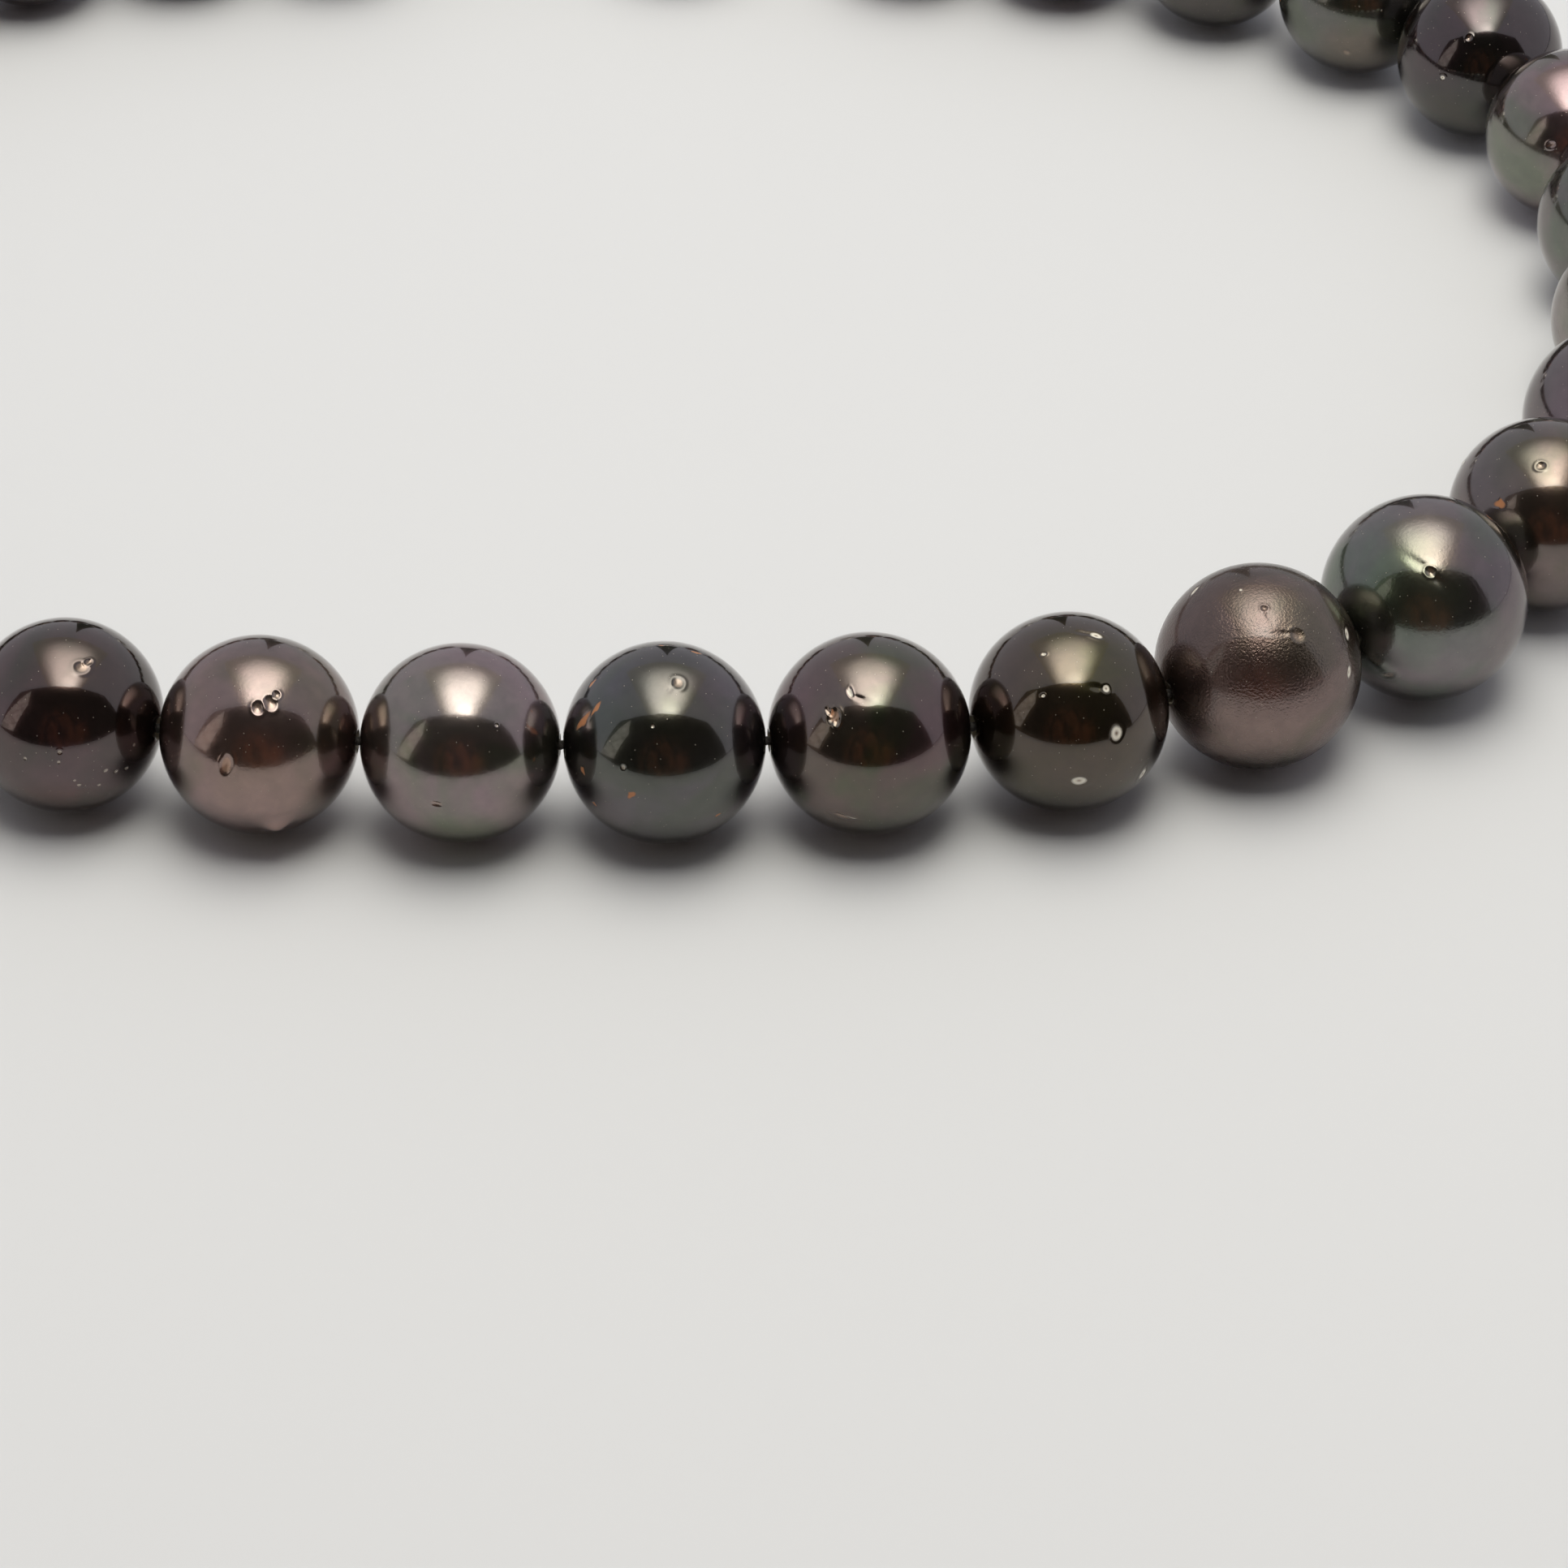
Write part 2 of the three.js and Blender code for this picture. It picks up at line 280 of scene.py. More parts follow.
def make_lamp():
    front, back, middle, front_half, back_half, hot_side = (share * LAMP_HEIGHT for share in LAMP.values())
    corners = [(middle - front_half, front, LAMP_HEIGHT), (middle + front_half, front, LAMP_HEIGHT),
               (middle + back_half, back, LAMP_HEIGHT), (middle - back_half, back, LAMP_HEIGHT)]
    material, tree, shader = new_material("lamp_light")
    tree.nodes.remove(shader)
    place = own_place(tree)
    parts = add(tree, "ShaderNodeSeparateXYZ", {"Vector": place})
    half = spread(tree, parts.outputs["Y"], front, back, front_half, back_half)
    off = maths(tree, "ABSOLUTE", maths(tree, "SUBTRACT", parts.outputs["X"], middle))
    side = eased(tree, maths(tree, "DIVIDE", off, half), 1.0, 0.30)
    glows = []
    for along, reach, strength in LAMP_GLOWS:
        away = distance(tree, place, (hot_side, along * LAMP_HEIGHT, LAMP_HEIGHT))
        glows.append(eased(tree, away, reach * LAMP_HEIGHT, 0.0, 0.0, strength))
    bright = maths(tree, "MULTIPLY", maths(tree, "ADD", *glows), side)
    strength = maths(tree, "ADD", bright, LAMP_IDLE)
    glow = add(tree, "ShaderNodeEmission", {"Color": LAMP_COLOUR, "Strength": strength})
    tree.links.new(glow.outputs["Emission"], tree.nodes["Material Output"].inputs["Surface"])
    studio_piece("lamp_panel", corners, [(0, 1, 2, 3)], material)


# Dark cloth behind the camera. Its top edge lies in the plane that leans forward from the front row's foot
# by "lean" per unit of height, nearly to the lamp panel's front edge. Angles are in degrees.
HOOD = {"distance": 0.58, "low": 0.3, "spread": 73.0, "lean": 0.36, "columns": 48, "rows": 20}
HOOD_CLOTH = (0.042, 0.036, 0.030)
HOOD_FOLDS = ((0.40, (0.050, 0.040, 0.033)), (0.62, (0.27, 0.115, 0.065)))
# Corners of the other screens, each an angle to the right of the front and an angle above the floor.
CARD = [(-73.5, 1.2), (-57, 5), (-52, 36), (-62, 49)]
CARD_DISTANCE = 0.94 * HOOD["distance"]
STAND = [(184.5, 0.5), (176.5, 0.5), (179.5, 27)]
STAND_DISTANCE = 0.85
STAND_PAINT = (0.05, 0.06, 0.045, 1)
SKIRTING = {"low": 0.02, "high": 0.55, "distance": 1.3, "sides": 96}


def towards(side, rise, away):
    """A point at an angle to the right of the front and an angle above the floor, in degrees."""
    side, rise = math.radians(side), math.radians(rise)
    return (away * math.cos(rise) * math.sin(side), -away * math.cos(rise) * math.cos(side),
            away * math.sin(rise))


def hood_material():
    """Dark cloth with a warm brown, upright-streaked patch low in its middle."""
    material, tree, shader = new_material("hood_cloth")
    place = own_place(tree)
    folds = ramp(tree, cloudy(tree, scaled(tree, place, (1.0, 1.0, 0.30)), 10.0, 3.0, 0.6), *HOOD_FOLDS)
    far = HOOD["distance"]
    patch = eased(tree, distance(tree, place, towards(2, 14, far)), far * 0.66, far * 0.30)
    fill(tree, shader, {"Base Color": mixed(tree, patch, (*HOOD_CLOTH, 1), folds), "Roughness": 0.95})
    return material


def painted_glow_card_material():
    """Crumpled pale card. The lamp's light on it is painted as its own glow, brighter along some creases."""
    material, tree, shader = new_material("side_card_painted_glow")
    crease_glow = cloudy(tree, own_place(tree), 22.0, 3.0, 1.5)
    fill(tree, shader, {"Base Color": (0.30, 0.28, 0.25, 1), "Emission Color": (1.0, 0.93, 0.84, 1),
                        "Emission Strength": spread(tree, crease_glow, 0.38, 0.62, 0.25, 0.95)})
    return material


def make_hood():
    columns, rows, low = HOOD["columns"], HOOD["rows"], HOOD["low"]
    vertices = []
    for row in range(rows + 1):
        for column in range(columns + 1):
            side = HOOD["spread"] * (2 * column / columns - 1)
            high = math.degrees(math.atan(math.cos(math.radians(side)) / HOOD["lean"]))
            vertices.append(towards(side, low + (high - low) * row / rows, HOOD["distance"]))
    starts = [row * (columns + 1) + column for row in range(rows) for column in range(columns)]
    faces = [(a, a + 1, a + columns + 2, a + columns + 1) for a in starts]
    return studio_piece("hood", vertices, faces, hood_material(), smooth=True)


def make_screens():
    card = studio_piece("side_card", [towards(*corner, CARD_DISTANCE) for corner in CARD], [(0, 1, 2, 3)],
                        painted_glow_card_material())
    paint, tree, shader = new_material("stand_paint")
    fill(tree, shader, {"Base Color": STAND_PAINT})
    stand = studio_piece("back_stand", [towards(*corner, STAND_DISTANCE) for corner in STAND], [(0, 1, 2)],
                         paint)
    sides = SKIRTING["sides"]
    ring = [towards(360 * k / sides, SKIRTING[edge], SKIRTING["distance"]) for edge in ("low", "high")
            for k in range(sides)]
    skirting = studio_piece("far_skirting", ring, loft(2, sides, capped=False), paint)
    for screen in (make_hood(), card, stand, skirting):
        screen.visible_shadow = False


make_world()
make_floor()
make_lamp()
make_screens()

# ---------------------------------------------------------------- pearls

HOLE = 0.65 * MM                 # drill hole radius
LIP = 0.09 * MM                  # rounding of the hole's mouth
ROWS, SIDES = 88, 120
REFINED = (3.4, 2.9, 2.5)        # each finer step reaches this many mark sizes out
WOBBLE = 0.0042                  # how far from round, as a share of the radius
RIPPLE = 0.00035
PROUD = 1.003                    # nowhere further out than this share of the radius, marks apart
SEED = 900                       # plus the pearl's number
EVEN = 0.7 * MM                  # the wobble and the marks fade out this close to the hole

# Per material slot: body colour, first overtone, second overtone, roughness.
TONES = {
    "nacre_aubergine": ((0.064, 0.047, 0.049), (0.086, 0.056, 0.064), (0.052, 0.046, 0.043), 0.15),
    "nacre_bronze": ((0.160, 0.108, 0.098), (0.185, 0.118, 0.118), (0.128, 0.098, 0.078), 0.19),
    "nacre_silver": ((0.182, 0.148, 0.152), (0.205, 0.150, 0.172), (0.138, 0.142, 0.118), 0.17),
    "nacre_slate": ((0.068, 0.066, 0.072), (0.080, 0.068, 0.080), (0.058, 0.064, 0.055), 0.18),
    "nacre_peacock": ((0.098, 0.068, 0.078), (0.112, 0.068, 0.090), (0.072, 0.073, 0.060), 0.17),
    "nacre_olive": ((0.058, 0.048, 0.044), (0.064, 0.050, 0.052), (0.056, 0.051, 0.038), 0.17),
    "nacre_steel": ((0.092, 0.102, 0.096), (0.108, 0.102, 0.106), (0.080, 0.106, 0.084), 0.19),
}
# How a pearl differs from its slot's colours. The darker values of pearl_27 and pearl_29 are painted shade: where
# the floor's reflection is blocked, and where the pearl lies in shadow.
SHADES = {14: (1.04, 0.95, 0.86), 15: (1.25, 1.28, 1.24), 16: (1.17, 1.13, 1.06), 17: (1.22, 1.18, 1.13),
          18: (1.05, 1.01, 0.82), 19: (1.00, 0.91, 0.63), 20: (0.94, 1.03, 0.98), 21: (1.43, 1.28, 1.25),
          22: (0.81, 0.91, 0.87), 23: (1.75, 2.00, 1.92), 24: (1.35, 1.50, 1.33), 25: (1.39, 1.16, 1.13),
          26: (1.08, 1.05, 0.97), 27: (0.70, 0.79, 0.74), 28: (1.50, 1.57, 1.29), 29: (0.80, 0.82, 0.70)}
# Colour patches at one place on a pearl: right and up from the middle of its front (shares of the radius),
# how many degrees they reach, and what they multiply the colour by. Some are overtones of the nacre; others are
# painted light: darker bottom and top rims are painted shade for the dark surroundings they would mirror, lighter
# lower middles a painted reflection of the floor, darker upper sides painted shade, and the patches where the
# lamp's highlight falls paint that highlight dimmer on some pearls, brighter on others, and tinted.
OVERTONES_AND_PAINTED_LIGHT = {
    14: [(-.15, -.97, 42, (1.02, 0.90, 0.66)), (0, -.55, 40, (1.12, 1.10, 1.20)),
         (.04, .50, 38, (0.86, 0.88, 0.80))],
    15: [(.10, .97, 42, (0.76, 0.80, 0.82)), (-.05, -.60, 48, (1.17, 1.18, 1.12)),
         (.04, .50, 38, (0.80, 0.88, 0.90))],
    16: [(-.05, -.98, 38, (0.66, 0.92, 0.58)), (0, -.45, 36, (1.10, 1.02, 1.14)),
         (.02, .36, 44, (0.86, 1.03, 0.92)), (-.6, .65, 40, (0.92, 1.04, 0.94))],
    17: [(0, .97, 38, (0.78, 0.80, 0.76)), (.05, .42, 40, (0.86, 0.86, 0.72)),
         (-.55, .45, 36, (0.92, 1.00, 1.06)), (.62, .25, 40, (1.05, 0.95, 1.02))],
    18: [(.05, .36, 46, (1.02, 1.25, 1.12)), (-.45, -.28, 44, (0.98, 1.14, 0.96)),
         (.62, .30, 42, (0.94, 0.86, 0.92)), (-.20, -.97, 36, (0.74, 0.86, 0.56))],
    19: [(.05, .38, 44, (1.16, 1.26, 1.08)), (-.50, .50, 40, (1.04, 0.98, 1.10)),
         (0, -.97, 34, (0.82, 0.84, 0.72))],
    20: [(-.55, .55, 56, (0.72, 0.70, 0.70)), (.05, -.50, 56, (1.18, 1.17, 1.14)),
         (.10, -.98, 32, (0.62, 0.66, 0.62))],
    21: [(.66, .45, 48, (0.80, 0.74, 0.80)), (.10, -.55, 48, (1.12, 1.12, 1.18)),
         (-.05, .20, 34, (0.96, 1.03, 0.84)), (.04, .60, 34, (1.20, 1.10, 1.10)),
         (-.60, .35, 40, (0.94, 1.04, 1.01)), (.10, -.98, 32, (0.72, 0.78, 0.70))],
    22: [(-.55, .50, 50, (0.74, 0.84, 0.88)), (.10, .40, 44, (1.12, 1.04, 0.94)),
         (-.2, -.97, 34, (0.80, 0.84, 0.62))],
    25: [(-.45, -.45, 56, (0.98, 1.06, 1.03)), (.30, .45, 52, (1.06, 0.92, 1.00))],
    26: [(-.65, -.35, 52, (0.93, 1.04, 1.00)), (.20, .40, 52, (1.08, 0.96, 1.06))],
    27: [(-.20, -.90, 44, (0.84, 0.96, 0.66)), (-.50, .30, 46, (1.10, 0.98, 1.04))],
    28: [(.05, -.80, 40, (1.14, 0.96, 0.80))],
}
CHALK = (0.84, 0.80, 0.70, 1)
RUST = (0.46, 0.20, 0.09, 1)
BEAD = (0.55, 0.50, 0.40, 1)     # the nucleus, seen inside the drill hole

# Marks on the pearls that face the front: kind, right and up from the middle of the pearl's front,
# half length, half width (shares of the radius), turn of the long side in degrees.
MARKS = {
    14: [("pit", .20, .46, .058, .050, 0), ("pit", .275, .505, .034, .026, 30),
         ("dot", -.10, -.37, .022, .020, 0), ("dot", -.12, -.47, .017, .017, 0),
         ("dot", .34, -.60, .026, .019, 20), ("dot", .44, -.62, .024, .018, 0),
         ("dot", .55, -.60, .027, .018, -15), ("dot", .65, -.37, .022, .020, 0),
         ("dot", -.45, -.40, .017, .017, 0), ("dot", .06, -.72, .021, .017, 0),
         ("dot", .26, -.74, .020, .017, 0), ("dot", .02, -.67, .015, .013, 0),
         ("dent", .12, -.76, .05, .022, -10), ("pit", -.965, .12, .030, .040, 0)],
    15: [("pit", 0, .26, .042, .050, 0), ("pit", .125, .30, .046, .058, 20),
         ("pit", .19, .375, .034, .030, 60), ("hollow", -.35, -.28, .046, .085, -18),
         ("dent", -.37, -.16, .070, .050, 20), ("nipple", .10, -.90, .13, .105, 0),
         ("swell", .02, -.78, .34, .18, 0)],
    16: [("pit", -.26, -.585, .058, .026, -6), ("ring", -.28, -.59, .19, .062, -4),
         ("dot", .36, .16, .014, .014, 0)],
    17: [("fleck", -.654, .347, .070, .026, 50), ("fleck", -.79, .216, .085, .050, 30),
         ("fleck", -.70, .58, .040, .022, 40), ("fleck", -.80, -.26, .026, .040, 0),
         ("fleck", -.326, -.50, .036, .034, 0), ("fleck", .312, .877, .046, .018, -12),
         ("fleck", .51, -.71, .022, .018, 0), ("fleck", -.69, -.59, .024, .018, 0),
         ("pit", .137, .576, .046, .050, 0), ("dent", .06, .51, .07, .030, 50),
         ("dot", -.11, .16, .016, .016, 0), ("fleck", -.02, .95, .022, .012, 0),
         ("dot", -.40, -.234, .022, .022, 0)],
    18: [("hollow", -.34, .155, .050, .055, 0), ("pit", -.39, .205, .042, .022, -55),
         ("pit", -.31, .10, .035, .022, 70), ("fleck", -.36, .19, .030, .018, 40),
         ("chip", -.19, .39, .020, .044, 24), ("dent", -.10, .34, .09, .028, -20),
         ("ridge", -.19, -.81, .085, .014, -8), ("pit", -.25, -.80, .07, .022, -8)],
    19: [("spot", .235, .761, .062, .034, -8), ("dent", .12, .78, .10, .03, -8),
         ("spot", .357, .244, .036, .036, 0), ("dent", .27, .25, .09, .035, 0),
         ("spot", .483, -.19, .062, .074, 0), ("dent", .478, -.17, .105, .125, 0),
         ("spot", .136, -.674, .070, .050, 0), ("spot", .76, -.58, .038, .074, -28),
         ("spot", -.268, .551, .022, .016, 0), ("spot", -.255, .145, .018, .014, 0)],
    20: [("spot", -.655, .677, .024, .056, -44), ("pit", .02, .555, .026, .026, 0),
         ("dent", .06, .49, .026, .075, 25), ("pit", .357, .321, .052, .052, 20),
         ("dent", .22, .33, .12, .024, 8), ("spot", .824, .373, .030, .066, 18),
         ("spot", .872, .01, .028, .060, 0), ("spot", -.213, .71, .013, .013, 0)],
    21: [("pit", .04, .25, .040, .034, -30), ("dent", -.10, .33, .14, .045, -28),
         ("dent", .14, .15, .15, .055, -38), ("dent", .10, .19, .085, .035, -40),
         ("swell", -.34, -.69, .16, .085, -30), ("pit", -.26, -.76, .060, .038, 40),
         ("dent", -.38, -.62, .07, .05, 10)],
    22: [("spot", -.89, .44, .020, .050, 12), ("fleck", -.46, .06, .040, .055, 10),
         ("pit", -.10, .48, .040, .035, 0)],
    23: [("pit", -.30, .30, .035, .030, 0), ("dot", -.5, -.2, .016, .016, 0)],
    26: [("pit", -.20, -.15, .040, .030, 30)],
    27: [("pit", -.15, .20, .030, .030, 0), ("spot", -.42, -.30, .030, .024, 0)],
}
# Per kind: how deep (minus is in) and how high its rim is, in shares of the radius, then chalk and rust.
KINDS = {
    "pit": (-.0120, .0042, .10, .16), "hollow": (-.020, .0060, .12, .45),
    "dot": (-.005, .0010, .35, .10), "dent": (-.0060, .0, .0, .0),
    "spot": (-.0035, .0026, 1.0, .0), "fleck": (-.0025, .0008, .0, 1.0), "chip": (-.008, .002, .85, .0),
    "nipple": (.070, .0, .0, .04), "swell": (.022, .0, .0, .0), "ridge": (.007, .0, .35, .0),
    "ring": (-.0022, .0014, .0, .0),
}
PEEL = {20: 1.0, 21: 0.22, 15: 0.10, 24: 0.4, 9: 0.6, 4: 0.35}     # hammered skin, per pearl
TORN = {"fleck": 0.24, "chip": 0.12}                               # how ragged a kind's outline is
SMOOTH_EDGE = 0.03                                                 # the same for all other kinds
SPECK = (0.44, 0.40, 0.34, 1)
# The small marks that chance puts on a pearl, and their half lengths.
CHANCE_KINDS = ["pit", "dot", "dot", "dot", "spot", "fleck", "dent"]
CHANCE_SIZES = {"pit": .034, "dot": .014, "spot": .028, "fleck": .026, "dent": .075}


def slot_of(node):
    return next(part["material_slot"] for part in RECORD["subparts"] if part["node"] == node)


def pearl_turn(number):
    """Columns are the pearl's own directions: drill axis, level across it, up."""
    along = AXES[number]
    return Matrix((along, UP.cross(along), UP)).transposed()


def front_directions(number):
    """Right, up and out of the side of a pearl that faces the front of the scene."""
    out = (CAMERA_AT - CENTRES[number]).normalized()
    right = UP.cross(out).normalized()
    return right, out.cross(right), out


def front_place(number, x, y):
    """The heading of a place right and up from the middle of a pearl's front."""
    right, up, out = front_directions(number)
    return right * x + up * y + out * math.sqrt(max(0.0, 1 - x * x - y * y))


def random_marks(number, chance):
    """A few small natural marks on the sides that MARKS doesn't cover."""
    found = []
    for _ in range(chance.randint(7, 13)):
        kind = chance.choice(CHANCE_KINDS)
        size = CHANCE_SIZES[kind] * chance.uniform(.7, 1.35)
        heading = Vector([chance.gauss(0, 1) for _ in range(3)]).normalized()
        thin = chance.uniform(.55, 1)
        turn = chance.uniform(0, 180)
        if number in MARKS and heading.dot(front_directions(number)[2]) > -0.05:
            continue
        found.append((kind, heading, size, size * thin, turn))
    return found


def marks_of(number, chance):
    """Each mark as kind, centre, the directions of its long and short sides in the pearl's own frame, its
    size, and whether it is one of MARKS."""
    drawn = [(kind, front_place(number, x, y), long, short, turn)
             for kind, x, y, long, short, turn in MARKS.get(number, [])]
    right = front_directions(number)[0]
    back = pearl_turn(number).transposed()
    made = []
    for index, (kind, heading, long, short, turn) in enumerate(drawn + random_marks(number, chance)):
        flat = (right - heading * right.dot(heading)).normalized()
        angle = math.radians(turn)
        first = flat * math.cos(angle) + heading.cross(flat) * math.sin(angle)
        second = heading.cross(first)
        made.append((kind, back @ heading, back @ first / long, back @ second / short, max(long, short),
                     index < len(drawn)))
    return made


def pearl_profile(radius):
    """(along, out) of the skin from one mouth to the other, and then back through the hole."""
    limit = math.acos((HOLE + LIP) / radius)
    skin = [(radius * math.sin(a), radius * math.cos(a))
            for a in (limit * (2 * row / ROWS - 1) for row in range(ROWS + 1))]
    edge = skin[-1][0]
    lip = [(edge - LIP * (1 - math.cos(a)) * 0.9, HOLE + LIP * (1 - math.sin(a))) for a in
           (math.pi / 2 * k / 3 for k in range(1, 4))]
    wall = [(edge - LIP - depth * radius, HOLE) for depth in (.06, .3, .7)]
    inside = lip + wall
    return skin + inside + [(-along, out) for along, out in reversed(inside)]


def turned_pearl(radius):
    """The round pearl with its hole, before any mark."""
    bm = bmesh.new()
    rings = [[bm.verts.new((along, out * c, out * s)) for c, s in circle(SIDES)]
             for along, out in pearl_profile(radius)]
    for ring, following in zip(rings, rings[1:] + rings[:1]):
        for k in range(SIDES):
            after = (k + 1) % SIDES
            bm.faces.new((ring[k], following[k], following[after], ring[after]))
    return bm


def refine(bm, radius, marks):
    """Divides the skin once round every mark, twice round small ones, three times if they are in MARKS."""
    for step, reach in enumerate(REFINED):
        faces = bm.faces[:]
        middles = np.array([face.calc_center_median() for face in faces])
        lengths = np.linalg.norm(middles, axis=1)
        headings = middles / lengths[:, None]
        near = np.zeros(len(faces), bool)
        for kind, centre, _, _, size, drawn in marks:
            if step and (kind in ("dent", "swell", "ring", "nipple") or step > 1 and not drawn):
                continue
            near |= np.linalg.norm(headings - np.array(centre), axis=1) < size * reach + 0.02
        near &= lengths > radius * 0.98
        chosen = {edge for k in np.nonzero(near)[0] for edge in faces[k].edges}
        bmesh.ops.subdivide_edges(bm, edges=list(chosen), cuts=1, use_grid_fill=True)


def wobble(headings, on_skin, chance):
    """How far each point of the skin stands out from the round, as a share of the radius."""
    offset = Vector([chance.uniform(-50, 50) for _ in range(3)])
    found = np.zeros(len(headings))
    for k in np.nonzero(on_skin)[0]:
        way = Vector(headings[k])
        found[k] = (noise.noise(way * 1.15 + offset) * WOBBLE
                    + noise.noise(way * 3.1 + offset) * WOBBLE * 0.16
                    + noise.noise(way * 7.0 + offset) * RIPPLE)
    return np.minimum(found, PROUD - 1)


def marked(headings, marks):
    """What the marks add at each point: height as a share of the radius, chalk and rust."""
    height, chalk, rust = np.zeros((3, len(headings)))
    for kind, centre, first, second, _, _ in marks:
        depth, rim, white, brown = KINDS[kind]
        a = headings @ np.array(first)
        b = headings @ np.array(second)
        around = np.arctan2(b, a)
        waves = (np.sin(2 * around + centre.x * 9) + 0.6 * np.sin(3 * around + centre.y * 9)
                 + 0.4 * np.sin(4 * around + centre.z * 9))
        off = np.hypot(a, b) * (1 + TORN.get(kind, SMOOTH_EDGE) * waves)
        off[headings @ np.array(centre) <= 0.3] = 99
        height += depth * np.exp(-off ** 2) + rim * np.exp(-((off - 1.6) / 0.5) ** 2)
        body = np.clip((1.15 - off) / 0.42, 0, 1)
        core = np.exp(-(off / 0.30) ** 2) if kind == "spot" else 0
        chalk = np.maximum(chalk, white * body * (1 - 0.85 * core))
        rust = np.maximum(rust, np.maximum(brown * body, 0.45 * core))
    return height, chalk, rust


def pearl_mesh(number, chance):
    """The pearl's shape, with each corner's chalk, rust and hole in its colour attribute."""
    radius = RADII[number]
    marks = marks_of(number, chance)
    bm = turned_pearl(radius)
    refine(bm, radius, marks)
    points = np.array([v.co for v in bm.verts], float)
    from_axis = np.hypot(points[:, 1], points[:, 2])
    on_skin = from_axis > HOLE + LIP * 0.999
    length = np.linalg.norm(points, axis=1)
    headings = points / length[:, None]
    height, chalk, rust = marked(headings, marks)
    swell = (wobble(headings, on_skin, chance) + height) * np.clip((from_axis - HOLE - LIP) / EVEN, 0, 1)
    places = headings * np.where(on_skin, radius * (1 + swell), length)[:, None]
    for v, place in zip(bm.verts, places):
        v.co = place
    bmesh.ops.recalc_face_normals(bm, faces=bm.faces)
    mesh = bpy.data.meshes.new(f"nacre_{number:02d}")
    bm.to_mesh(mesh)
    bm.free()
    mesh.shade_smooth()
    colours = np.stack([chalk, rust, np.where(on_skin, 0.0, 1.0), np.ones(len(points))], 1).astype(np.float32)
    layer = mesh.attributes.new("marks", "FLOAT_COLOR", "POINT")
    layer.data.foreach_set("color", colours.ravel())
    return mesh


def with_overtones_and_painted_light(tree, number, place, colour):
    """Multiplies the colour by patches placed on a pearl: overtones of the nacre, and painted highlight,
    reflection and shade.
    """
    facing = add(tree, "ShaderNodeVectorMath", {0: place}, operation="NORMALIZE").outputs["Vector"]
    for x, y, reach, factors in OVERTONES_AND_PAINTED_LIGHT.get(number, []):
        heading = pearl_turn(number).transposed() @ front_place(number, x, y).normalized()
        close = add(tree, "ShaderNodeVectorMath", {0: facing, 1: heading}, operation="DOT_PRODUCT")
        patch = eased(tree, close.outputs["Value"], math.cos(math.radians(reach)), 1.0)
        colour = mixed(tree, patch, colour, (*factors, 1), "MULTIPLY")
    return colour


def nacre(number, chance):
    """Dark nacre: a satin, tinted inner lustre under a clear sharp skin, with drifting overtones and patches of
    painted highlight, reflection and shade.
    """
    slot = slot_of(pearl_name(number))
    *tones, rough = TONES[slot]
    shift = SHADES.get(number) or [chance.uniform(0.94, 1.14) * k for k in (1.04, 1.02, 0.92)]
    body, first, second = [(*[c * k for c, k in zip(tone, shift)], 1) for tone in tones]
    peel = PEEL.get(number, 0)
    material, tree, shader = new_material(f"{slot}_{number:02d}")
    own = own_place(tree)
    place = scaled(tree, own, (1 / RADII[number],) * 3, [chance.uniform(-40, 40) for _ in range(3)])

    def drift(scale, detail, low, high, *more):
        return spread(tree, cloudy(tree, place, scale, detail, *more), 0.36, 0.64, low, high)

    colour = mixed(tree, drift(0.75, 1.5, 0, 1, 0.5), body, first)
    colour = mixed(tree, drift(1.05, 2.0, -0.5, 0.95, 0.8), colour, second)
    # Painted light as well as overtones: patches that dim, brighten and tint the lamp's highlight, and painted
    # shade and reflections on the rims and lower sides.
    colour = with_overtones_and_painted_light(tree, number, own, colour)
    mottle = mixed(tree, drift(5.5, 4.0, 0, 1, 0.3, 0.65), (0.90, 0.90, 0.90, 1), (1.08, 1.07, 1.06, 1))
    colour = mixed(tree, 1.0, colour, mottle, "MULTIPLY")
    cells = add(tree, "ShaderNodeTexVoronoi", {"Vector": place, "Scale": 13.0, "Randomness": 1.0})
    speck = spread(tree, cells.outputs["Distance"], 0.080, 0.05, 0.0, 0.75)
    layer = add(tree, "ShaderNodeAttribute", {}, attribute_name="marks").outputs["Color"]
    chalk, rust, inside = add(tree, "ShaderNodeSeparateColor", {"Color": layer}).outputs
    for amount, tint in ((speck, SPECK), (rust, RUST), (chalk, CHALK), (inside, BEAD)):
        colour = mixed(tree, amount, colour, tint)
    dull = maths(tree, "MAXIMUM", maths(tree, "MAXIMUM", chalk, rust), maths(tree, "MAXIMUM", speck, inside))

    def faded(sound, worn):
        return spread(tree, dull, 0.0, 1.0, sound, worn)

    skin = cloudy(tree, place, 26.0 + 16 * peel, 2.0, 0.0, 0.55)
    fill(tree, shader, {
        "Base Color": colour,
        "Metallic": faded(0.93, 0.10),
        "Roughness": maths(tree, "ADD", drift(2.2, 2.0, -0.02, 0.03), faded(rough + 0.08 * peel, 0.55)),
        "Specular Tint": (0.50, 0.47, 0.46, 1),
        "Coat Weight": faded(1.0 - 0.35 * peel, 0.25),
        "Coat Roughness": 0.03 + 0.08 * peel,
        "Coat IOR": 1.53,
        "Normal": bumped(tree, skin, 0.12 + 0.88 * peel, (0.03 + 0.012 * peel) * MM),
    })
    return material


